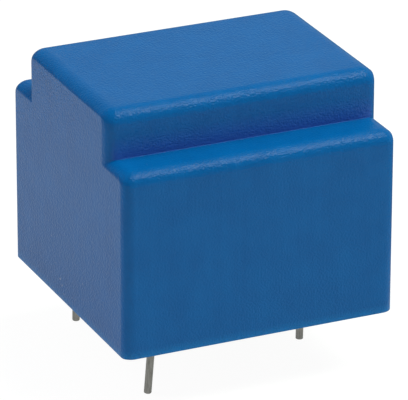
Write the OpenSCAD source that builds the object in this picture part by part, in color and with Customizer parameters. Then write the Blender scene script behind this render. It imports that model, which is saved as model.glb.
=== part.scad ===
// Encapsulated circuit-board mains transformer, 0.5 VA class, in a stepped moulded case.
// Millimetres, +Z up. The origin is the middle of the footprint, on the plane where
// the rim of the case meets the board. X runs along the step, and the pins point down.
// The sizes start from the lamination and grow outwards: bobbin, windings, case.

/* [Core] */
// Length of the closed core, along the legs
core_l = 20; // [18:0.5:24]
// Width of the core, across the three legs
core_w = 20; // [19:0.5:24]
// Width of the centre leg
centre_leg = 5; // [4:0.1:5.5]
// Width of each outer leg
outer_leg = 3; // [2:0.1:3.2]
// Width of the yoke that joins the legs
yoke = 3; // [2.6:0.1:3.4]
// Thickness of one lamination sheet
sheet_t = 0.5; // [0.35:0.05:0.6]
// Varnish between two sheets
varnish = 0.016; // [0.01:0.002:0.03]
// Height of the stack of sheets, kept to a whole number of them
stack = 10.3; // [6:0.1:12.4]
// Air at the joint between the two halves
joint_gap = 0.05; // [0.02:0.01:0.1]

/* [Bobbin] */
// Slack between the centre leg and the bobbin's tube
leg_slack = 0.1; // [0.05:0.01:0.2]
// Slack between the bobbin's ends and the yokes
yoke_slack = 0.1; // [0.05:0.01:0.3]
// Wall of the tube
tube_wall = 0.6; // [0.4:0.05:0.8]
// Thickness of each of the three flanges
flange_t = 0.7; // [0.5:0.05:0.9]
// Slack between the flanges and the outer legs
flange_slack = 0.3; // [0.1:0.05:0.5]
// Height of a flange over the tube, towards the top and the board
flange_rise = 1.9; // [1.8:0.05:2.1]
// Corner radius of the flanges
flange_r = 1; // [0.4:0.1:1.6]
// Offset of the dividing flange, which makes the primary chamber the longer one
divider_shift = 0.5; // [0:0.1:1]
// Depth of the pin rails below the leads' side of the coil, over the leads themselves
rail_lift = 0.25; // [0.1:0.05:0.6]
// Width of the pin rails past the outermost pin positions
rail_end = 1.7; // [1.2:0.1:1.9]
// Rail past the pins, away from the coil
rail_edge = 1.3; // [1:0.1:1.6]
// Radius of the wire grooves between the pin positions of a rail
groove_r = 0.6; // [0.3:0.05:0.8]
// Air between a rail and the yoke above it
rail_gap = 0.1; // [0.05:0.01:0.3]
// Width of the notches that let the leads out of the end flanges
notch_w = 0.8; // [0.6:0.05:1.2]

/* [Windings] */
// Flange that stands proud of the tape, towards the outer legs
proud_side = 0.95; // [0.3:0.05:1.2]
// Flange that stands proud of the tape, towards the top and the board
proud_rise = 0.15; // [0.1:0.05:0.4]
// Corner radius of the wound coils
coil_r = 2.2; // [1:0.1:2.6]
// Thickness of the insulating tape over each winding
tape_t = 0.15; // [0.1:0.01:0.25]
// Strip beside each end flange that the tape leaves bare for the leads
bare_strip = 1; // [0.7:0.1:1.6]
// Diameter of the primary leads
primary_wire = 0.2; // [0.15:0.01:0.3]
// Diameter of the secondary leads
secondary_wire = 0.3; // [0.15:0.01:0.35]
// Distance of the primary leads from the middle, where they leave the coil
lead_y = 2.2; // [1.6:0.1:2.4]
// Bend radius of the primary leads at the middle of the wire
lead_bend = 0.6; // [0.4:0.05:1]

/* [Pins] */
// Distance from an end flange to the middle of the pin row beside it
row_offset = 0.6; // [0.6:0.05:0.9]
// Diameter of the round end that goes into the board
pin_d = 0.6; // [0.5:0.05:0.8]
// Side of the square shank that the rail holds and the lead wraps
pin_square = 0.53; // [0.4:0.01:0.6]
// Length of the pins below the rim
pin_l = 5.05; // [3:0.05:6]
// Chamfer of the cut tip
tip_chamfer = 0.05; // [0.02:0.01:0.15]
// Depth of the shank's end below the top of the rail
pin_cover = 0.5; // [0.3:0.1:0.8]
// Part of the shank that shows below the resin's face, inside the rim
shank_show = 0.3; // [0.2:0.05:0.4]
// Lean of the bent primary pin at the front, in degrees from the vertical
front_lean_angle = 5.4; // [0:0.1:7]
// Heading of that lean in plan, in degrees from +X
front_heading = 116; // [0:1:359]
// Lean of the bent primary pin at the back
back_lean_angle = 1.4; // [0:0.1:7]
// Heading of that lean
back_heading = 109; // [0:1:359]
// Lean of the bent secondary pin at the front
secondary_lean_angle = 5.2; // [0:0.1:7]
// Heading of that lean
secondary_heading = 234; // [0:1:359]
// Air between a solder joint and the end flange
solder_air = 0.05; // [0.03:0.01:0.1]
// Radius of a solder joint where it thins out on the shank
solder_tip_r = 0.42; // [0.4:0.01:0.45]
// Resin over the thin end of a solder joint
solder_cover = 0.15; // [0.05:0.05:0.3]

/* [Housing and resin] */
// Wall of the moulded case
wall = 0.8; // [0.6:0.1:1.2]
// Resin between each end of the core and the case
end_gap = 0.55; // [0.3:0.05:1.5]
// Resin between each side of the core and the case
side_gap = 0.3; // [0.2:0.05:1.5]
// Resin between the coil's flanges and the sides of the upper block
coil_gap = 0.3; // [0.15:0.05:1]
// Resin between the core and the roof of the shoulders
shoulder_gap = 0.2; // [0.1:0.05:1]
// Resin between the flanges and the roof of the upper block
roof_gap = 1.45; // [0.3:0.05:3]
// Height of the underside of the core above the board
core_z = 3.8; // [3.7:0.05:5]
// Radius of the top edges of the upper block
top_r = 1.2; // [0.9:0.1:2]
// Radius of the outer edges of the shoulders
shoulder_r = 1.1; // [0.9:0.1:2]
// Radius of the vertical edges
corner_r = 0.8; // [0.3:0.05:0.85]
// Radius of the edges inside the case
inner_r = 0.4; // [0.2:0.05:0.8]
// Depth of the resin's face above the rim
resin_recess = 0.6; // [0.5:0.05:0.7]
// Radius of the creep of the resin up the wall
wall_creep = 0.35; // [0.2:0.05:0.45]
// Radius of the creep of the resin round each pin
pin_creep = 0.2; // [0.16:0.01:0.25]
// Part of those radii that is left out, so that the creep ends at an angle on what it wets
creep_edge = 0.03; // [0.02:0.01:0.05]

/* [Hidden] */
$fn = 48;

// The core: the sheets lie flat, one pitch apart
sheet_pitch = sheet_t + varnish;
sheets = round(stack/sheet_pitch);
stack_h = sheets*sheet_pitch - varnish;
core_mid = core_z + stack_h/2;
window_x = core_l/2 - yoke;
window_y0 = centre_leg/2;
window_y1 = core_w/2 - outer_leg;

// The bobbin: tube, flanges and rails, all symmetric about core_mid but for the rails
tube_in_y = centre_leg + 2*leg_slack;
tube_in_z = stack_h + 2*leg_slack;
tube_out_y = tube_in_y + 2*tube_wall;
tube_out_z = tube_in_z + 2*tube_wall;
bobbin_x = window_x - yoke_slack;
flange_y = 2*(window_y1 - flange_slack);
flange_z = tube_out_z + 2*flange_rise;
divider_x = divider_shift - flange_t/2;
chamber_x = bobbin_x - flange_t;

// The windings: their lowest face carries the leads
coil_y = flange_y - 2*(proud_side + tape_t);
coil_z = flange_z - 2*(proud_rise + tape_t);
lead_z = core_mid - coil_z/2;
strip_x = chamber_x - bare_strip;
lead_start = chamber_x - 0.8*bare_strip;
notch_top = lead_z + secondary_wire;

// The pins keep to the core: a 5 mm grid and 15 mm between the rows on a 20 mm core
pitch = core_w/4;
pin_x = bobbin_x + row_offset;
primary_y = 1.5*pitch;
secondary_y = 0.5*pitch;

// The rails hang between the yoke and the leads
rail_top = core_z - rail_gap;
rail_z = lead_z + secondary_wire/2 + rail_lift;
rail_h = rail_top - rail_z;
rail_x = pin_x + rail_edge;
rail_y = 3*pitch + 2*rail_end;
root_z = rail_top - pin_cover;
shank_end = resin_recess - shank_show;
shank_lap = 0.05;
free_l = shank_end + pin_l;
foot_r = pin_d/2 + pin_creep - creep_edge;
solder_r = row_offset - solder_air;
solder_z = resin_recess + solder_cover;
solder_h = rail_z - solder_z;

// The case grows round the core and the coil
cavity_l = core_l + 2*end_gap;
cavity_w = core_w + 2*side_gap;
cavity_top_w = flange_y + 2*coil_gap;
cavity_shoulder = core_z + stack_h + shoulder_gap;
cavity_h = core_mid + flange_z/2 + roof_gap;
case_l = cavity_l + 2*wall;
case_w = cavity_w + 2*wall;
top_w = cavity_top_w + 2*wall;
shoulder_h = cavity_shoulder + wall;
case_h = cavity_h + wall;
cut = 1;

// Extrudes a Y-Z outline along X from x0 to x1
module along_x(x0, x1) translate([x0, 0, 0]) rotate([90, 0, 90]) linear_extrude(x1 - x0) children();

// A rectangle centred on the origin with rounded corners
module rounded(w, h, r) {
    square([w - 2*r, h], center = true);
    square([w, h - 2*r], center = true);
    for (sx = [-1, 1], sy = [-1, 1]) translate([sx*(w/2 - r), sy*(h/2 - r)]) circle(r);
}

// The same on the axis of the coil, for use with along_x
module coil_outline(w, h, r) translate([0, core_mid]) rounded(w, h, r);

module tube_bore() translate([0, core_mid]) square([tube_in_y, tube_in_z], center = true);

// ---- Housing: one moulding, open at the bottom, with a shoulder along each long side

// A block with ball-rounded top edges and tight vertical edges, standing on z0
module soft_block(w, z0, h, r) {
    hull() for (sx = [-1, 1], sy = [-1, 1]) {
        translate([sx*(case_l/2 - corner_r), sy*(w/2 - corner_r), z0])
            cylinder(r = corner_r, h = h - r - z0, $fn = 32);
        translate([sx*(case_l/2 - r), sy*(w/2 - r), h - r])
            rotate_extrude($fn = 32) intersection() {
                circle(r, $fn = 32);
                square(r);
            }
    }
}

// The stepped inside of the case, from z0 up
module cavity(z0) {
    along_x(-cavity_l/2, cavity_l/2) {
        translate([0, (z0 + cavity_shoulder)/2])
            rounded_top(cavity_w, cavity_shoulder - z0);
        translate([0, (z0 + cavity_h)/2])
            rounded_top(cavity_top_w, cavity_h - z0);
    }
}

// A rectangle whose two upper corners are rounded
module rounded_top(w, h) {
    translate([0, -inner_r/2]) square([w, h - inner_r], center = true);
    translate([0, h/2 - inner_r/2]) square([w - 2*inner_r, inner_r], center = true);
    for (s = [-1, 1]) translate([s*(w/2 - inner_r), h/2 - inner_r]) circle(inner_r);
}

module case() color("royalblue") difference() {
    union() {
        soft_block(case_w, 0, shoulder_h, shoulder_r);
        soft_block(top_w, shoulder_h/2, case_h, top_r);
    }
    cavity(-cut);
}

// ---- Core: two stacks of E-shaped sheets that meet in the middle of the legs

module e_outline() difference() {
    translate([joint_gap/2, -core_w/2]) square([core_l/2 - joint_gap/2, core_w]);
    for (s = [-1, 1]) translate([0, s*(window_y0 + window_y1)/2 - (window_y1 - window_y0)/2])
        square([window_x, window_y1 - window_y0]);
}

module core_half(side) color("slategray") for (i = [0 : sheets - 1])
    translate([0, 0, core_z + i*sheet_pitch]) linear_extrude(sheet_t)
        mirror([side < 0 ? 1 : 0, 0]) e_outline();

module core_half_primary() core_half(-1);
module core_half_secondary() core_half(1);

// ---- Bobbin: one moulding with a square tube, three flanges and a pin rail at each end

module flange(x0) along_x(x0, x0 + flange_t) difference() {
    coil_outline(flange_y, flange_z, flange_r);
    tube_bore();
}

// The rail hangs below the yoke, with a wire groove between neighbouring pin positions
module rail(side) mirror([side < 0 ? 1 : 0, 0, 0]) difference() {
    translate([chamber_x, -rail_y/2, rail_z]) cube([rail_x - chamber_x, rail_y, rail_h]);
    for (i = [-1 : 1]) translate([rail_x, i*pitch, rail_z - cut])
        cylinder(r = groove_r, h = rail_h + 2*cut);
}

module notch(side, y) translate([side*(chamber_x + flange_t/2), y, notch_top - cut])
    cube([flange_t + cut, notch_w, 2*cut], center = true);

module bobbin() color("ivory") difference() {
    union() {
        along_x(-bobbin_x, bobbin_x) difference() {
            translate([0, core_mid]) square([tube_out_y, tube_out_z], center = true);
            tube_bore();
        }
        flange(-bobbin_x);
        flange(divider_x);
        flange(chamber_x);
        rail(-1);
        rail(1);
    }
    for (s = [-1, 1]) {
        notch(-1, s*lead_y);
        notch(1, s*secondary_y);
        shank(-1, s*primary_y);
        shank(1, s*secondary_y);
    }
}

// ---- Windings and their tapes

module wound(x0, x1) along_x(x0, x1) difference() {
    coil_outline(coil_y, coil_z, coil_r);
    translate([0, core_mid]) square([tube_out_y, tube_out_z], center = true);
}

module primary_winding() color("peru") difference() {
    wound(-chamber_x, divider_x);
    primary_lead(-1);
    primary_lead(1);
}

module secondary_winding() color("chocolate") difference() {
    wound(divider_x + flange_t, chamber_x);
    secondary_lead(-1);
    secondary_lead(1);
}

module taped(x0, x1) color("gold") along_x(x0, x1) difference() {
    coil_outline(coil_y + 2*tape_t, coil_z + 2*tape_t, coil_r + tape_t);
    coil_outline(coil_y, coil_z, coil_r);
}

module primary_tape() taped(-strip_x, divider_x);
module secondary_tape() taped(divider_x + flange_t, strip_x);

// ---- Pins: a square shank in the rail, then a round end that leaves the resin

module shank(side, y) translate([side*pin_x, y, shank_end]) linear_extrude(root_z - shank_end)
    square(pin_square, center = true);

// The round end, hanging from the bend at the end of the shank
module round_end(side, y, lean, heading) translate([side*pin_x, y, shank_end])
    rotate([0, -lean, heading]) translate([0, 0, -free_l]) {
        cylinder(d1 = pin_d - 2*tip_chamfer, d2 = pin_d, h = tip_chamfer);
        translate([0, 0, tip_chamfer]) cylinder(d = pin_d, h = free_l + shank_lap - tip_chamfer);
    }

module pin(side, y, lean = 0, heading = 0) color("silver") {
    shank(side, y);
    round_end(side, y, lean, heading);
}

module primary_pin_front() pin(-1, -primary_y, front_lean_angle, front_heading);
module primary_pin_back() pin(-1, primary_y, back_lean_angle, back_heading);
module secondary_pin_front() pin(1, -secondary_y, secondary_lean_angle, secondary_heading);
module secondary_pin_back() pin(1, secondary_y);

// ---- Leads: from the lowest face of a winding, through a notch, to the shank of a pin

module lead_run(x0, x1, d) translate([x0, 0, 0]) rotate([0, 90, 0]) cylinder(d = d, h = x1 - x0);

// A primary lead turns along the rail, because its pin stands at the end of the row
module primary_lead(s) color("orangered")
    translate([0, 0, lead_z]) mirror([1, 0, 0]) mirror([0, s < 0 ? 1 : 0, 0]) {
        translate([0, lead_y, 0]) lead_run(lead_start, pin_x - lead_bend, primary_wire);
        translate([pin_x - lead_bend, lead_y + lead_bend, 0]) rotate([0, 0, -90])
            rotate_extrude(angle = 90) translate([lead_bend, 0]) circle(d = primary_wire);
        translate([pin_x, lead_y + lead_bend, 0]) rotate([-90, 0, 0])
            cylinder(d = primary_wire, h = primary_y - pin_square/2 - lead_y - lead_bend);
    }

module secondary_lead(s) color("orangered") translate([0, s*secondary_y, lead_z])
    lead_run(lead_start, pin_x - pin_square/2, secondary_wire);

module primary_lead_front() primary_lead(-1);
module primary_lead_back() primary_lead(1);
module secondary_lead_front() secondary_lead(-1);
module secondary_lead_back() secondary_lead(1);

// ---- Solder joints: a cone of solder between the rail and the resin's face

module solder_cone(side, y) translate([side*pin_x, y, solder_z])
    cylinder(r1 = solder_tip_r, r2 = solder_r, h = solder_h);

module primary_solder(s) color("lightgray") difference() {
    solder_cone(-1, s*primary_y);
    shank(-1, s*primary_y);
    primary_lead(s);
}

module secondary_solder(s) color("lightgray") difference() {
    solder_cone(1, s*secondary_y);
    shank(1, s*secondary_y);
    secondary_lead(s);
}

module primary_solder_front() primary_solder(-1);
module primary_solder_back() primary_solder(1);
module secondary_solder_front() secondary_solder(-1);
module secondary_solder_back() secondary_solder(1);

// ---- Resin: fills the case round everything above its face, and creeps up what it wets

// The space inside the closed core and the bobbin's tube, which the resin doesn't reach
module core_space() {
    for (s = [-1, 1]) {
        translate([-core_l/2, s*(core_w - outer_leg)/2 - outer_leg/2, core_z])
            cube([core_l, outer_leg, stack_h]);
        translate([s*(core_l - yoke)/2 - yoke/2, -core_w/2, core_z])
            cube([yoke, core_w, stack_h]);
    }
    along_x(-window_x, window_x) tube_bore();
}

// The hollow that the resin leaves below its face, rounded where it meets the wall
module recess() {
    deep = resin_recess + cut;
    intersection() {
        rotate([90, 0, 90]) linear_extrude(cavity_l, center = true)
            translate([0, resin_recess - deep/2]) rounded(cavity_w + 2*creep_edge, deep, wall_creep);
        rotate([90, 0, 0]) linear_extrude(cavity_w, center = true)
            translate([0, resin_recess - deep/2]) rounded(cavity_l + 2*creep_edge, deep, wall_creep);
    }
}

// The foot that the resin leaves round a pin
module pin_foot(side, y) translate([side*pin_x, y, resin_recess]) rotate_extrude() difference() {
    translate([0, -pin_creep]) square([foot_r, pin_creep + solder_cover/2]);
    translate([foot_r, -pin_creep]) circle(pin_creep);
}

module potting_resin() color("dimgray") difference() {
    union() {
        difference() {
            cavity(resin_recess - wall_creep);
            recess();
        }
        for (s = [-1, 1]) {
            pin_foot(-1, s*primary_y);
            pin_foot(1, s*secondary_y);
        }
    }
    core_space();
    bobbin();
    wound(-chamber_x, divider_x);
    wound(divider_x + flange_t, chamber_x);
    primary_tape();
    secondary_tape();
    primary_pin_front();
    primary_pin_back();
    secondary_pin_front();
    secondary_pin_back();
    for (s = [-1, 1]) {
        primary_lead(s);
        secondary_lead(s);
        solder_cone(-1, s*primary_y);
        solder_cone(1, s*secondary_y);
    }
}

case();
potting_resin();
bobbin();
core_half_primary();
core_half_secondary();
primary_winding();
secondary_winding();
primary_tape();
secondary_tape();
primary_pin_front();
primary_pin_back();
secondary_pin_front();
secondary_pin_back();
primary_lead_front();
primary_lead_back();
secondary_lead_front();
secondary_lead_back();
primary_solder_front();
primary_solder_back();
secondary_solder_front();
secondary_solder_back();
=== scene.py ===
import math

import bmesh
import bpy
from mathutils import Matrix, Vector


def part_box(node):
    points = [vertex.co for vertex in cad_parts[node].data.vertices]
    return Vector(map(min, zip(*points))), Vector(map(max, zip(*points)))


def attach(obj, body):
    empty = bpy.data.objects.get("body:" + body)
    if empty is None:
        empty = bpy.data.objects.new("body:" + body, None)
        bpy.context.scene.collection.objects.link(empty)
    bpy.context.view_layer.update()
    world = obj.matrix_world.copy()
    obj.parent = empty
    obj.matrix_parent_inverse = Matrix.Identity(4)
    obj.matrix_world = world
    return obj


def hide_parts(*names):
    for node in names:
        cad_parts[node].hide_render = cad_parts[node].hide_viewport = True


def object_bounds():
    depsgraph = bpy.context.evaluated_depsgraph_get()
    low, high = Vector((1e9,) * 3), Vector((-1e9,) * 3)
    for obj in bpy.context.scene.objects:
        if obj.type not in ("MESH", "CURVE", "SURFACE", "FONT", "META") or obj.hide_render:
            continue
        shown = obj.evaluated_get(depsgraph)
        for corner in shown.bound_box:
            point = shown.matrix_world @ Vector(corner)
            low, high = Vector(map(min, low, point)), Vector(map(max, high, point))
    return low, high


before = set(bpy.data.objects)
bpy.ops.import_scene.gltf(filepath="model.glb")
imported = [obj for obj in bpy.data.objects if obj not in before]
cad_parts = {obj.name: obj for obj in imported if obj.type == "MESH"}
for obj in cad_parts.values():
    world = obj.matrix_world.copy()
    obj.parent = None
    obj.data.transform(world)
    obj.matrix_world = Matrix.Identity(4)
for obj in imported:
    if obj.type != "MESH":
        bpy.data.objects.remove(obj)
cad_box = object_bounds()

# ---- Camera ----
# A long lens a third of a metre away, turned a quarter of the way from the front to the
# left end and looking down on the top. It stands still, and no material reads it.

camera_data = bpy.data.cameras.new("camera")
camera_data.lens = 381.49
camera_data.sensor_width = 36.0
camera_data.clip_start = 0.02
camera_data.clip_end = 20.0
camera = bpy.data.objects.new("camera", camera_data)
bpy.context.scene.collection.objects.link(camera)
bpy.context.scene.camera = camera
camera_right = Vector((0.911008, -0.412382, 0.002476))
camera_up = Vector((0.159084, 0.356965, 0.920471))
camera_turn = Matrix((camera_right, camera_up, camera_right.cross(camera_up))).transposed().to_4x4()
camera.matrix_world = Matrix.Translation((-0.128237, -0.282962, 0.138917)) @ camera_turn

# ---- Studio ----
# A sheet of white paper on a table, a soft lamp over the front right for the rounded edges,
# two broad ones for the top and the left end, and a dim room that is lighter behind.

scene = bpy.context.scene
scene.view_settings.view_transform = "Standard"
table_level = cad_box[0][2]


class Wire:
    """A socket's output in a node tree, or the bare tree. Sums of wires add Math nodes."""

    def __init__(self, tree, socket=None):
        self.tree = tree
        self.socket = socket

    def node(self, kind, settings=None, out=0, **sockets):
        """Adds a node: its settings first, then a value or a wire for each socket, named or numbered."""
        node = self.tree.nodes.new(kind)
        for name, value in (settings or {}).items():
            setattr(node, name, value)
        for name, value in sockets.items():
            socket = node.inputs[int(name[1:])] if name[0] == "_" else node.inputs[name.replace("_", " ")]
            if isinstance(value, Wire):
                self.tree.links.new(value.socket, socket)
            else:
                socket.default_value = value
        return Wire(self.tree, node.outputs[out] if node.outputs else None)

    def math(self, operation, first, second=0.0):
        return self.node("ShaderNodeMath", {"operation": operation}, _0=first, _1=second)

    def __add__(self, other):
        return self.math("ADD", self, other)

    def __radd__(self, other):
        return self.math("ADD", other, self)

    def __sub__(self, other):
        return self.math("SUBTRACT", self, other)

    def __rsub__(self, other):
        return self.math("SUBTRACT", other, self)

    def __mul__(self, other):
        return self.math("MULTIPLY", self, other)

    def __rmul__(self, other):
        return self.math("MULTIPLY", other, self)

    def __truediv__(self, other):
        return self.math("DIVIDE", self, other)

    def __pow__(self, other):
        return self.math("POWER", self, other)

    def __or__(self, other):
        return self.math("MAXIMUM", self, other)

    def __abs__(self):
        return self.math("ABSOLUTE", self)


def blank_tree(owner):
    owner.use_nodes = True
    owner.node_tree.nodes.clear()
    return Wire(owner.node_tree)


def unlit_rays(tree):
    """One where the camera, a reflection or clear glass looks, and nought where light falls on things."""
    camera_ray, glossy_ray, glass_ray = (tree.node("ShaderNodeLightPath", out=name) for name in
                                         ("Is Camera Ray", "Is Glossy Ray", "Is Transmission Ray"))
    return camera_ray | glossy_ray | glass_ray


room_light = 0.20
world = bpy.data.worlds.new("studio")
tree = blank_tree(world)
direction = tree.node("ShaderNodeTexCoord", out="Generated")
east, north, height = (tree.node("ShaderNodeSeparateXYZ", out=axis, Vector=direction) for axis in "XYZ")
room = tree.node("ShaderNodeMapRange", Value=east + north, From_Min=0.4, From_Max=1.2,
                 To_Min=0.07, To_Max=0.37)
backdrop = tree.node("ShaderNodeMapRange", Value=height, From_Min=0.0, From_Max=0.05,
                     To_Min=1.0, To_Max=room)
surround = tree.node("ShaderNodeBackground", Color=(1, 1, 1, 1),
                     Strength=room_light + (backdrop - room_light) * unlit_rays(tree))
tree.node("ShaderNodeOutputWorld", Surface=surround)
scene.world = world

table_mesh = bpy.data.meshes.new("table")
table_reach = 4
table_corners = [(x * table_reach, y * table_reach, table_level)
                 for x, y in ((-1, -1), (1, -1), (1, 1), (-1, 1))]
table_mesh.from_pydata(table_corners, [], [(0, 1, 2, 3)])
table = bpy.data.objects.new("table", table_mesh)
scene.collection.objects.link(table)
table_paper = bpy.data.materials.new("table_paper")
tree = blank_tree(table_paper)
# A reflection finds the white sheet only near the transformer and on its left
place = tree.node("ShaderNodeTexCoord", out="Object")
spread = tree.node("ShaderNodeVectorMath", {"operation": "LENGTH"}, "Value", _0=place)
leftward = tree.node("ShaderNodeVectorMath", {"operation": "DOT_PRODUCT"}, "Value", _0=place,
                     _1=(-0.86, -0.51, 0))
sheet = tree.node("ShaderNodeMapRange", Value=spread, From_Min=0.07, From_Max=0.14, To_Min=1.0, To_Max=0.35)
sheet = sheet * tree.node("ShaderNodeMapRange", Value=leftward, From_Min=-0.032, From_Max=-0.012,
                          To_Min=0.06, To_Max=1.0)
sheet = sheet * tree.node("ShaderNodeMapRange", Value=spread, From_Min=0.025, From_Max=0.055,
                          To_Min=0.70, To_Max=0.78)
bright = tree.node("ShaderNodeLightPath", out="Is Camera Ray") | sheet
paper_tone = tree.node("ShaderNodeMix", {"data_type": "RGBA"}, 2, _0=bright,
                       _6=(0, 0, 0, 1), _7=(1, 1, 1, 1))
paper = tree.node("ShaderNodeBsdfDiffuse", Color=(0.80, 0.80, 0.80, 1))
glow = tree.node("ShaderNodeEmission", Color=paper_tone, Strength=1.12)
seen = tree.node("ShaderNodeMixShader", Fac=0.85 * unlit_rays(tree), _1=paper, _2=glow)
tree.node("ShaderNodeOutputMaterial", Surface=seen)
table_mesh.materials.append(table_paper)


lamp_target = Vector((0, 0, 0.008))


def softbox(name, direction, distance, side, power, colour=(1, 1, 1), mirrored=False):
    data = bpy.data.lights.new(name, "AREA")
    data.shape = "SQUARE"
    data.size = side
    data.energy = power
    data.color = colour
    lamp = bpy.data.objects.new(name, data)
    scene.collection.objects.link(lamp)
    away = Vector(direction).normalized()
    lamp.location = lamp_target + away * distance
    lamp.rotation_euler = away.to_track_quat("Z", "Y").to_euler()
    lamp.visible_glossy = mirrored


softbox("front_softbox", (0.376, -0.329, 0.866), 0.40, 0.13, 0.48, mirrored=True)
softbox("top_softbox", (0.45, -0.12, 0.88), 0.45, 0.30, 1.38, (0.98, 1.18, 0.86))
softbox("left_softbox", (-0.8, 0.42, 0.60), 0.45, 0.30, 0.56)

# ---- Core ----
# Two stacks of E-shaped sheets of silicon steel, punched, annealed to a thin blue-grey
# oxide and varnished. They are pushed into the bobbin from both ends and meet in the middle.


def finish_material(name):
    """A new material: its bare tree, and a point on the piece in millimetres."""
    material = bpy.data.materials.new(name)
    tree = blank_tree(material)
    point = tree.node("ShaderNodeVectorMath", {"operation": "SCALE"},
                      _0=tree.node("ShaderNodeTexCoord", out="Object"), Scale=1000.0)
    return material, tree, point


def noise(tree, point, scale, detail=2.0, roughness=0.5, stretch=(1, 1, 1)):
    """Noise with so many cells to the millimetre, and more along an axis that is stretched."""
    if stretch != (1, 1, 1):
        point = tree.node("ShaderNodeMapping", Vector=point, Scale=stretch)
    return tree.node("ShaderNodeTexNoise", Vector=point, Scale=scale, Detail=detail, Roughness=roughness)


def between(tree, factor, first, second):
    """A colour between two, by a wire. The first may be a wire too."""
    if not isinstance(first, Wire):
        first = (*first, 1)
    return tree.node("ShaderNodeMix", {"data_type": "RGBA"}, 2, _0=factor, _6=first, _7=(*second, 1))


def ramp(tree, value, low, high, first=0.0, last=1.0):
    """A number that runs from first to last while the value runs from low to high."""
    return tree.node("ShaderNodeMapRange", Value=value, From_Min=low, From_Max=high,
                     To_Min=first, To_Max=last)


def surface(tree, **sockets):
    """Ends a material in one shader with these sockets."""
    shader = tree.node("ShaderNodeBsdfPrincipled", **sockets)
    tree.node("ShaderNodeOutputMaterial", Surface=shader)


def dress(node, material):
    """Gives a solid that stays as it is its finish."""
    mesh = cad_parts[node].data
    mesh.materials.clear()
    mesh.materials.append(material)


steel, tree, point = finish_material("annealed_steel")
rolled = noise(tree, point, 1.0, 3.0, 0.6, (0.5, 9.0, 9.0))
oxide = noise(tree, point, 0.45, 3.0, 0.55)
steel_tone = between(tree, 0.55 * oxide + 0.45 * rolled, (0.13, 0.14, 0.17), (0.42, 0.41, 0.40))
surface(tree, Base_Color=steel_tone, Metallic=1.0, Roughness=0.32 + 0.25 * oxide,
        Normal=tree.node("ShaderNodeBump", Height=rolled, Strength=0.5, Distance=0.00001))
dress("core_half_primary", steel)
dress("core_half_secondary", steel)

# ---- Bobbin ----
# One moulding of glass-filled nylon: a square tube, an end flange at each end with its pin
# rail, and a dividing flange that keeps the two windings apart.

nylon, tree, point = finish_material("bobbin_nylon")
fibre = noise(tree, point, 7.0, 2.0, 0.6, (1.0, 1.0, 0.35))
flow = noise(tree, point, 0.5, 3.0, 0.5)
surface(tree, Base_Color=between(tree, 0.7 * flow + 0.3 * fibre, (0.62, 0.57, 0.44), (0.80, 0.76, 0.64)),
        Roughness=0.42 + 0.16 * fibre,
        Normal=tree.node("ShaderNodeBump", Height=fibre, Strength=0.4, Distance=0.00001))
dress("bobbin", nylon)

# ---- Windings ----
# Enamelled copper wire wound in layers on the tube, the fine primary in the long chamber
# and the thicker secondary in the short one. The outer layer shows its turns side by side.

tube_width, tube_height = 0.0064, 0.011704
coil_corner = 0.0022
chambers = {"primary": (0.0002, (0.62, 0.21, 0.07), (0.80, 0.32, 0.12)),
            "secondary": (0.0003, (0.50, 0.13, 0.04), (0.72, 0.24, 0.08))}


def new_tree(name, inputs, material):
    """A Geometry Nodes tree: its named inputs as wires, and a call that ends it."""
    group = bpy.data.node_groups.new(name, "GeometryNodeTree")
    tree = Wire(group)
    sockets = {}
    for label in inputs:
        sockets[label] = group.interface.new_socket(label, in_out="INPUT", socket_type="NodeSocketFloat")
    group.interface.new_socket("Geometry", in_out="OUTPUT", socket_type="NodeSocketGeometry")
    entry = group.nodes.new("NodeGroupInput")
    wires = [Wire(group, entry.outputs[i]) for i in range(len(inputs))]

    def close(geometry):
        real = tree.node("GeometryNodeRealizeInstances", Geometry=geometry)
        done = tree.node("GeometryNodeSetMaterial", Geometry=real, Material=material)
        tree.node("NodeGroupOutput", _0=done)

    return group, tree, sockets, wires, close


def grow(name, group, sockets, **sizes):
    """Runs a tree with its sizes and keeps the result as a plain mesh."""
    piece = bpy.data.objects.new(name, bpy.data.meshes.new(name))
    scene.collection.objects.link(piece)
    modifier = piece.modifiers.new(name, "NODES")
    modifier.node_group = group
    for label, value in sizes.items():
        modifier[sockets[label.replace("_", " ")].identifier] = value
    bpy.context.view_layer.update()
    mesh = bpy.data.meshes.new_from_object(piece.evaluated_get(bpy.context.evaluated_depsgraph_get()))
    piece.modifiers.remove(modifier)
    piece.data = mesh
    return piece


def vector(tree, x=0.0, y=0.0, z=0.0):
    return tree.node("ShaderNodeCombineXYZ", X=x, Y=y, Z=z)


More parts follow.
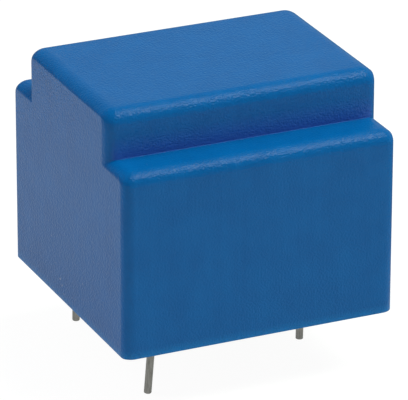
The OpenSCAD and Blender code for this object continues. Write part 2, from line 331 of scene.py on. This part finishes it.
def wound_coil(material):
    group, tree, sockets, wires, close = new_tree(
        "wound_coil", ["Start", "Length", "Wire", "Width", "Height", "Corner",
                       "Tube Width", "Tube Height", "Axis Height"], material)
    start, length, wire, width, height, corner, tube_w, tube_h, axis = wires
    quarter = math.pi / 2

    def loop(w, h, r, steps):
        """A rectangle with rounded corners, across the axis of the coil."""
        flat = tree.node("GeometryNodeCurvePrimitiveQuadrilateral", {"mode": "RECTANGLE"},
                         Width=w, Height=h)
        if r is not None:
            flat = tree.node("GeometryNodeFilletCurve", {"mode": "POLY"}, Curve=flat, Count=steps, Radius=r)
        return flat

    turns = tree.math("FLOOR", length / wire)
    pitch = length / turns
    path = loop(width - wire, height - wire, corner - 0.5 * wire, 6)
    profile = tree.node("GeometryNodeCurvePrimitiveCircle", {"mode": "RADIUS"},
                        Resolution=8, Radius=0.5 * wire)
    turn = tree.node("GeometryNodeCurveToMesh", Curve=path, Profile_Curve=profile)
    turn = tree.node("GeometryNodeSetShadeSmooth", Geometry=turn)
    turn = tree.node("GeometryNodeTransform", Geometry=turn, Rotation=(quarter, 0, quarter))
    row = tree.node("GeometryNodeMeshLine", {"mode": "OFFSET"}, Count=turns,
                    Start_Location=vector(tree, start + 0.5 * pitch, 0.0, axis), Offset=vector(tree, pitch))
    layer = tree.node("GeometryNodeInstanceOnPoints", Points=row, Instance=turn)

    joined = tree.node("GeometryNodeJoinGeometry")
    for curve in (loop(width - wire, height - wire, corner - 0.5 * wire, 6), loop(tube_w, tube_h, None, 0)):
        tree.tree.links.new(curve.socket, joined.socket.node.inputs[0])
    face = tree.node("GeometryNodeFillCurve", {"mode": "NGONS"}, Curve=joined)
    face = tree.node("GeometryNodeTransform", Geometry=face, Translation=vector(tree, start, 0.0, axis),
                     Rotation=(quarter, 0, quarter))
    raised = tree.node("GeometryNodeExtrudeMesh", {"mode": "FACES"}, Mesh=face, Offset=(1, 0, 0),
                       Offset_Scale=length, Individual=False)
    back = tree.node("GeometryNodeFlipFaces", Mesh=face)
    inner = tree.node("GeometryNodeJoinGeometry")
    for part in (raised, back):
        tree.tree.links.new(part.socket, inner.socket.node.inputs[0])
    inner = tree.node("GeometryNodeMergeByDistance", Geometry=inner, Distance=0.000001)
    coil = tree.node("GeometryNodeJoinGeometry")
    for part in (layer, inner):
        tree.tree.links.new(part.socket, coil.socket.node.inputs[0])
    close(coil)
    return group, sockets


for side, (wire, dull, clear) in chambers.items():
    enamel, tree, point = finish_material(side + "_enamel")
    tint = noise(tree, point, 1.2, 3.0, 0.6, (2.5, 0.6, 0.6))
    surface(tree, Base_Color=between(tree, tint, dull, clear), Metallic=1.0, Roughness=0.22 + 0.18 * tint,
            Coat_Weight=0.5, Coat_Roughness=0.12)
    coil_tree, coil_sockets = wound_coil(enamel)
    low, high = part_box(side + "_winding")
    coil = grow(side + "_turns", coil_tree, coil_sockets, Start=low[0], Length=high[0] - low[0], Wire=wire,
                Width=high[1] - low[1], Height=high[2] - low[2], Corner=coil_corner,
                Tube_Width=tube_width, Tube_Height=tube_height, Axis_Height=(low[2] + high[2]) / 2)
    coil_bm = bmesh.new()
    coil_bm.from_mesh(coil.data)
    bmesh.ops.recalc_face_normals(coil_bm, faces=coil_bm.faces)
    coil_bm.to_mesh(coil.data)
    coil_bm.free()
    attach(coil, "root")
    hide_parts(side + "_winding")

# ---- Tapes ----
# Polyester film with adhesive, wrapped over each winding and a little shiny, with the
# edges of the wraps showing as faint steps along the axis.

film, tree, point = finish_material("polyester_film")
wraps = noise(tree, point, 1.0, 1.0, 0.4, (3.5, 0.15, 0.15))
creases = noise(tree, point, 1.6, 3.0, 0.6)
surface(tree, Base_Color=between(tree, 0.6 * wraps + 0.4 * creases, (0.62, 0.36, 0.04), (0.86, 0.60, 0.12)),
        Roughness=0.20 + 0.20 * creases,
        Normal=tree.node("ShaderNodeBump", Height=wraps + 0.5 * creases, Strength=0.6, Distance=0.00002))
dress("primary_tape", film)
dress("secondary_tape", film)

# ---- Leads and solder ----
# Each winding's ends leave its lowest face, pass the flange's notch and are soldered to a
# pin's shank. The solder is a bright cone of tin, wetted up to the rail.

lead_copper, tree, point = finish_material("lead_copper")
stain = noise(tree, point, 2.0, 3.0, 0.6)
surface(tree, Base_Color=between(tree, stain, (0.55, 0.17, 0.05), (0.78, 0.34, 0.14)), Metallic=1.0,
        Roughness=0.24 + 0.20 * stain)
solder_tin, tree, point = finish_material("solder_tin")
ripple = noise(tree, point, 2.4, 3.0, 0.55)
surface(tree, Base_Color=between(tree, ripple, (0.46, 0.46, 0.45), (0.72, 0.72, 0.70)), Metallic=1.0,
        Roughness=0.18 + 0.25 * ripple,
        Normal=tree.node("ShaderNodeBump", Height=ripple, Strength=0.6, Distance=0.00003))
for side in ("primary", "secondary"):
    for place in ("front", "back"):
        dress("%s_lead_%s" % (side, place), lead_copper)
        dress("%s_solder_%s" % (side, place), solder_tin)

# ---- Pins ----
# Four wires of tinned copper-clad steel, square where the rail holds them and drawn round
# below, cut off flat. Handling has bent three of them a few degrees out of the vertical.

pin_round, pin_side = 0.0006, 0.00053
bend_height, shank_top = 0.0003, 0.0032
tip_round = 0.00007
pin_reach = 0.00505 + bend_height
pins = {"primary_pin_front": (-0.0075, -0.0075, 5.4, 116), "primary_pin_back": (-0.0075, 0.0075, 1.4, 109),
        "secondary_pin_front": (0.0075, -0.0025, 5.2, 234), "secondary_pin_back": (0.0075, 0.0025, 0, 0)}

tinned, tree, point = finish_material("tinned_wire")
drawn = noise(tree, point, 1.0, 4.0, 0.65, (11.0, 11.0, 0.7))
dulled = noise(tree, point, 1.5, 3.0, 0.6)
tone = 0.6 * ramp(tree, drawn, 0.35, 0.65) + 0.4 * ramp(tree, dulled, 0.35, 0.65)
surface(tree, Base_Color=between(tree, tone, (0.22, 0.22, 0.20), (0.40, 0.40, 0.37)), Metallic=0.9,
        Roughness=0.36 + 0.16 * dulled,
        Normal=tree.node("ShaderNodeBump", Height=drawn, Strength=1.0, Distance=0.00002))

pin_tree, tree, pin_sockets, wires, close = new_tree(
    "drawn_pin", ["Diameter", "Tip", "Reach", "Lean", "Heading", "Root X", "Root Y",
                  "Bend Height", "Shank Side", "Shank Top"], tinned)
diameter, tip, reach, lean, heading, root_x, root_y, bend, shank, top = wires
rod = tree.node("GeometryNodeMeshCylinder", {"fill_type": "NGON"}, Vertices=32, Side_Segments=30,
                Radius=1.0, Depth=1.0)
spot = tree.node("GeometryNodeInputPosition")
spot_x, spot_y, spot_z = (tree.node("ShaderNodeSeparateXYZ", out=axis, Vector=spot) for axis in "XYZ")
# The rings crowd towards the tip, where the radius changes
tip_crowding = 2.5
rise = reach * (spot_z + 0.5) ** tip_crowding
short = (tip - rise) | 0.0
radius = 0.5 * diameter - tip + (tip * tip - short * short) ** 0.5
drawn_spot = vector(tree, spot_x * radius, spot_y * radius, rise - reach)
rod = tree.node("GeometryNodeSetPosition", Geometry=rod, Position=drawn_spot)
rod = tree.node("GeometryNodeTransform", Geometry=rod, Translation=vector(tree, root_x, root_y, bend),
                Rotation=vector(tree, 0.0, 0.0 - lean, heading))
shank_overlap = 0.00002
block = tree.node("GeometryNodeMeshCube", Size=vector(tree, shank, shank, top - bend + shank_overlap))
block = tree.node("GeometryNodeTransform", Geometry=block,
                  Translation=vector(tree, root_x, root_y, 0.5 * (bend + top) - shank_overlap / 2))
both = tree.node("GeometryNodeJoinGeometry")
for part in (rod, block):
    tree.tree.links.new(part.socket, both.socket.node.inputs[0])
close(both)

for name, (x, y, lean, heading) in pins.items():
    pin = grow(name.replace("pin", "wire"), pin_tree, pin_sockets,
               Diameter=pin_round, Tip=tip_round, Reach=pin_reach,
               Lean=math.radians(lean), Heading=math.radians(heading), Root_X=x, Root_Y=y,
               Bend_Height=bend_height, Shank_Side=pin_side, Shank_Top=shank_top)
    pin.data.shade_smooth()
    pin.data.set_sharp_from_angle(angle=math.radians(40))
    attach(pin, "root")
    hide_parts(name)

# ---- Housing ----
# One injection moulding of blue thermoplastic with a fine spark-eroded grain, open at the
# bottom, with a shoulder along each long side. The tool rounds the long edges; at the two
# ends the rounding stops short at the flat end plate of the tool, with a crisp line.

housing_x, housing_y, housing_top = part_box("case")[1]
shoulder_top = 0.015104
upper_y = 0.0078
top_round = 0.0012
shoulder_round = 0.0011
rim_round = 0.00007
crease_round = 0.00003
# For each edge at the ends: how far the rounding runs in and falls, and how far its line is broken
end_rounding = {"top": (0.0012, 0.00060, 0.00010), "shoulder": (0.0011, 0.00056, 0.00012),
                "low_upright": (0.0009, 0.00062, 0.00018), "high_upright": (0.0010, 0.00085, 0.00015)}
end_draft = 0.00001
wall_sink = 0.00003
rim_bow_end, rim_bow_side = 0.00001, 0.00001


def drop(radius, depth):
    """How far a rounded edge lies below its face, at a depth in from the end."""
    inside = max(0.0, radius - depth)
    return radius - math.sqrt(max(0.0, radius * radius - inside * inside))


def end_drop(edge, depth):
    """The same for an edge that the end plate cuts off: how far it runs in, falls and is broken."""
    run_in, fall, broken = end_rounding[edge]
    arc = (run_in ** 2 + fall ** 2) / (2 * fall)
    inside = max(0.0, run_in - depth)
    return arc - math.sqrt(arc ** 2 - inside ** 2) + drop(broken, depth)


def corner(centre_y, centre_z, half_y, half_z, start, turn, count):
    """Points along a quarter of an ellipse, across the housing."""
    return [(centre_y + half_y * math.cos(start + turn * i / count),
             centre_z + half_z * math.sin(start + turn * i / count)) for i in range(count + 1)]


def run(first, last, count):
    """Points between the ends of a straight stretch."""
    return [(first[0] + (last[0] - first[0]) * i / count, first[1] + (last[1] - first[1]) * i / count)
            for i in range(1, count)]


def half_outline(depth):
    """The right half of the outline across the housing, from the rim to the top."""
    tuck = end_drop("low_upright", depth)
    high_tuck = end_drop("high_upright", depth)
    rim = drop(rim_round, depth)
    fall = end_drop("shoulder", depth)
    top_fall = end_drop("top", depth)
    quarter = math.pi / 2
    rim_corner = corner(housing_y - tuck - rim_round, rim_round,
                        rim_round, rim_round - rim, -quarter, quarter, 4)
    shoulder_corner = corner(housing_y - shoulder_round, shoulder_top - shoulder_round,
                             shoulder_round - tuck, shoulder_round - fall, 0, quarter, 14)
    crease = corner(upper_y - high_tuck + crease_round, shoulder_top - fall + crease_round,
                    crease_round, crease_round, -quarter, -quarter, 4)
    top_corner = corner(upper_y - top_round, housing_top - top_round,
                        top_round - high_tuck, top_round - top_fall, 0, quarter, 14)
    points = [(rim_corner[0][0] * i / 8, rim_corner[0][1]) for i in range(1, 8)]
    points += rim_corner + run(rim_corner[-1], shoulder_corner[0], 14)
    points += shoulder_corner + run(shoulder_corner[-1], crease[0], 3)
    points += crease + run(crease[-1], top_corner[0], 4)
    points += top_corner + [(top_corner[-1][0] * (8 - i) / 8, top_corner[-1][1]) for i in range(1, 8)]
    return points


def outline(depth):
    """The whole outline across the housing, at a depth in from the end."""
    right = half_outline(depth)
    return [(0.0, right[0][1])] + right + [(0.0, right[-1][1])] + [(-y, z) for y, z in reversed(right)]


line_depth = 0.00016
least_step = 0.000004
depths = sorted({line_depth * (1 - math.cos(math.pi / 2 * i / 6)) for i in range(7)}
                | {end_rounding["top"][0] * i / 14 for i in range(1, 15)})
near_end = [d for i, d in enumerate(depths) if i == 0 or d - depths[i - 1] > least_step]
middle = [near_end[-1] + (housing_x - near_end[-1]) * i / 12 for i in range(1, 13)]
stations = [(-housing_x + d, d) for d in near_end + middle]
stations += [(-x, d) for x, d in reversed(stations[:-1])]

housing_bm = bmesh.new()
loops = [[housing_bm.verts.new((x, y, z)) for y, z in outline(depth)] for x, depth in stations]
for a, b in zip(loops, loops[1:]):
    for i in range(len(a)):
        j = (i + 1) % len(a)
        housing_bm.faces.new((a[i], a[j], b[j], b[i]))
housing_bm.faces.new(loops[0])
housing_bm.faces.new(list(reversed(loops[-1])))
bmesh.ops.recalc_face_normals(housing_bm, faces=housing_bm.faces)

# The ends lean in for the draft, the long walls sink a little as they cool, and the rim bows
wall_skin, rim_band, bow_band = 0.0004, 0.0004, 0.002
sunk_share = 0.93
draft_start = 0.009
for vert in housing_bm.verts:
    along = max(0.0, 1 - (vert.co.x / housing_x) ** 2)
    across = max(0.0, 1 - (vert.co.y / housing_y) ** 2)
    up = vert.co.z / shoulder_top
    if abs(vert.co.y) > housing_y - wall_skin and up < sunk_share:
        sink = wall_sink * along ** 0.5 * math.sin(math.pi * min(1, max(0, up))) ** 2
        vert.co.y -= math.copysign(sink, vert.co.y)
    if vert.co.z < rim_band:
        end_weight = max(0.0, 1 - (housing_x - abs(vert.co.x)) / bow_band)
        side_weight = max(0.0, 1 - (housing_y - abs(vert.co.y)) / bow_band)
        vert.co.z += max(rim_bow_end * across * end_weight, rim_bow_side * along * side_weight)
    lean_in = math.copysign(end_draft * max(0.0, vert.co.z) / housing_top, vert.co.x)
    vert.co.x -= lean_in * min(1, abs(vert.co.x) / draft_start)

housing_mesh = bpy.data.meshes.new("housing")
housing_bm.to_mesh(housing_mesh)
housing_bm.free()
housing = bpy.data.objects.new("housing", housing_mesh)
scene.collection.objects.link(housing)

# The inside is one stepped hollow, cut out of the block
hollow_x, hollow_y, hollow_step = 0.01055, 0.0103, 0.014304
hollow_upper_y, hollow_top = 0.0070, 0.018154
hollow_foot = -0.002
hollow_outline = [(-hollow_y, hollow_foot), (hollow_y, hollow_foot), (hollow_y, hollow_step),
                  (hollow_upper_y, hollow_step), (hollow_upper_y, hollow_top),
                  (-hollow_upper_y, hollow_top), (-hollow_upper_y, hollow_step),
                  (-hollow_y, hollow_step)]
hollow_bm = bmesh.new()
ends = [[hollow_bm.verts.new((x, y, z)) for y, z in hollow_outline] for x in (-hollow_x, hollow_x)]
for i in range(len(hollow_outline)):
    j = (i + 1) % len(hollow_outline)
    hollow_bm.faces.new((ends[0][i], ends[0][j], ends[1][j], ends[1][i]))
hollow_bm.faces.new(ends[0])
hollow_bm.faces.new(list(reversed(ends[1])))
bmesh.ops.recalc_face_normals(hollow_bm, faces=hollow_bm.faces)
hollow_mesh = bpy.data.meshes.new("hollow")
hollow_bm.to_mesh(hollow_mesh)
hollow_bm.free()
hollow = bpy.data.objects.new("hollow", hollow_mesh)
scene.collection.objects.link(hollow)
cut = housing.modifiers.new("hollow", "BOOLEAN")
cut.operation = "DIFFERENCE"
cut.solver = "EXACT"
cut.object = hollow
bpy.context.view_layer.update()
moulded = bpy.data.meshes.new_from_object(housing.evaluated_get(bpy.context.evaluated_depsgraph_get()))
housing.modifiers.remove(cut)
housing.data = moulded
bpy.data.objects.remove(hollow)
moulded.shade_smooth()
moulded.set_sharp_from_angle(angle=math.radians(35))
soften = housing.modifiers.new("face_normals", "WEIGHTED_NORMAL")
soften.keep_sharp = True
soften.weight = 50

# Pale flecks of resin dust above the rim of the left end: across, up and size in
# millimetres, and strength
flecks = [(3.3, 4.7, 0.10, 0.35), (5.0, 2.9, 0.08, 0.25), (2.5, 2.7, 0.07, 0.30), (3.3, 1.6, 0.09, 0.35),
          (1.6, 1.7, 0.11, 1.0), (1.2, 1.3, 0.10, 0.7), (0.9, 0.7, 0.09, 0.5), (-0.9, 1.1, 0.08, 0.5),
          (-2.9, 3.1, 0.09, 0.55), (-1.5, 1.2, 0.07, 0.35), (-7.3, 9.1, 0.07, 0.3)]

blue, tree, point = finish_material("blue_moulding")
along, across, up = (tree.node("ShaderNodeSeparateXYZ", out=axis, Vector=point) for axis in "XYZ")
grain = noise(tree, point, 6.5, 1.0, 0.4)
patches = noise(tree, point, 0.42, 3.0, 0.55)
draw_lines = noise(tree, point, 1.0, 3.0, 0.6, (1.8, 1.8, 0.10))
tone = 0.45 * ramp(tree, patches, 0.35, 0.65) + 0.30 * ramp(tree, draw_lines, 0.35, 0.65) + 0.25 * grain
blue_tone = between(tree, tone, (0.0001, 0.102, 0.366), (0.0006, 0.126, 0.430))
# Painted shade: towards the inner corner of the step, where the wall lies in shade, the blue is painted a
# little violet, standing in for the colour that shade takes there
crease_shade_tint = ramp(tree, up, 16.9, 15.3) * ramp(tree, up, 15.08, 15.12)
crease_shade_tint = crease_shade_tint * ramp(tree, abs(across), 7.86, 7.82) * ramp(tree, abs(across), 7.60, 7.70)
crease_shade_tint = crease_shade_tint * ramp(tree, abs(along), 11.2, 10.6)
blue_tone = between(tree, crease_shade_tint, blue_tone, (0.028, 0.112, 0.480))
# Painted light: the last half millimetre above the rim is painted paler, standing in for light thrown up
# onto it from the white table
rim_bounce_light = ramp(tree, up + 0.35 * (patches - 0.5), 0.75, 0.12) * ramp(tree, up, -0.02, 0.02)
blue_tone = between(tree, 0.8 * rim_bounce_light, blue_tone, (0.0040, 0.172, 0.520))
dust = None
for fleck_y, fleck_z, size, strength in flecks:
    away = tree.node("ShaderNodeVectorMath", {"operation": "DISTANCE"}, "Value", _0=point,
                     _1=(-housing_x * 1000, fleck_y, fleck_z))
    spot = strength * ramp(tree, away, size, 0.3 * size)
    dust = spot if dust is None else dust | spot
blue_tone = between(tree, dust, blue_tone, (0.42, 0.45, 0.52))
surface(tree, Base_Color=blue_tone, Roughness=0.26 + 0.04 * grain + 0.04 * draw_lines,
        Specular_IOR_Level=0.2,
        Normal=tree.node("ShaderNodeBump", Height=grain, Strength=1.0, Distance=0.00005))
moulded.materials.clear()
moulded.materials.append(blue)
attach(housing, "root")
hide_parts("case")

# ---- Resin ----
# Dark epoxy, poured in from below round the core and the coil. It cures with a smooth,
# slightly wavy face, creeps a little up the wall and the pins, and holds a few pinholes.

epoxy, tree, point = finish_material("potting_epoxy")
swell = noise(tree, point, 0.35, 2.0, 0.5)
clouds = noise(tree, point, 0.9, 4.0, 0.6)
pinholes = tree.node("ShaderNodeTexVoronoi", Vector=point, Scale=0.8)
pits = ramp(tree, pinholes, 0.10, 0.04)
surface(tree, Base_Color=between(tree, clouds, (0.016, 0.017, 0.020), (0.040, 0.042, 0.046)),
        Roughness=0.22 + 0.22 * clouds,
        Normal=tree.node("ShaderNodeBump", Height=swell - 0.4 * pits, Strength=0.8, Distance=0.00006))
dress("potting_resin", epoxy)
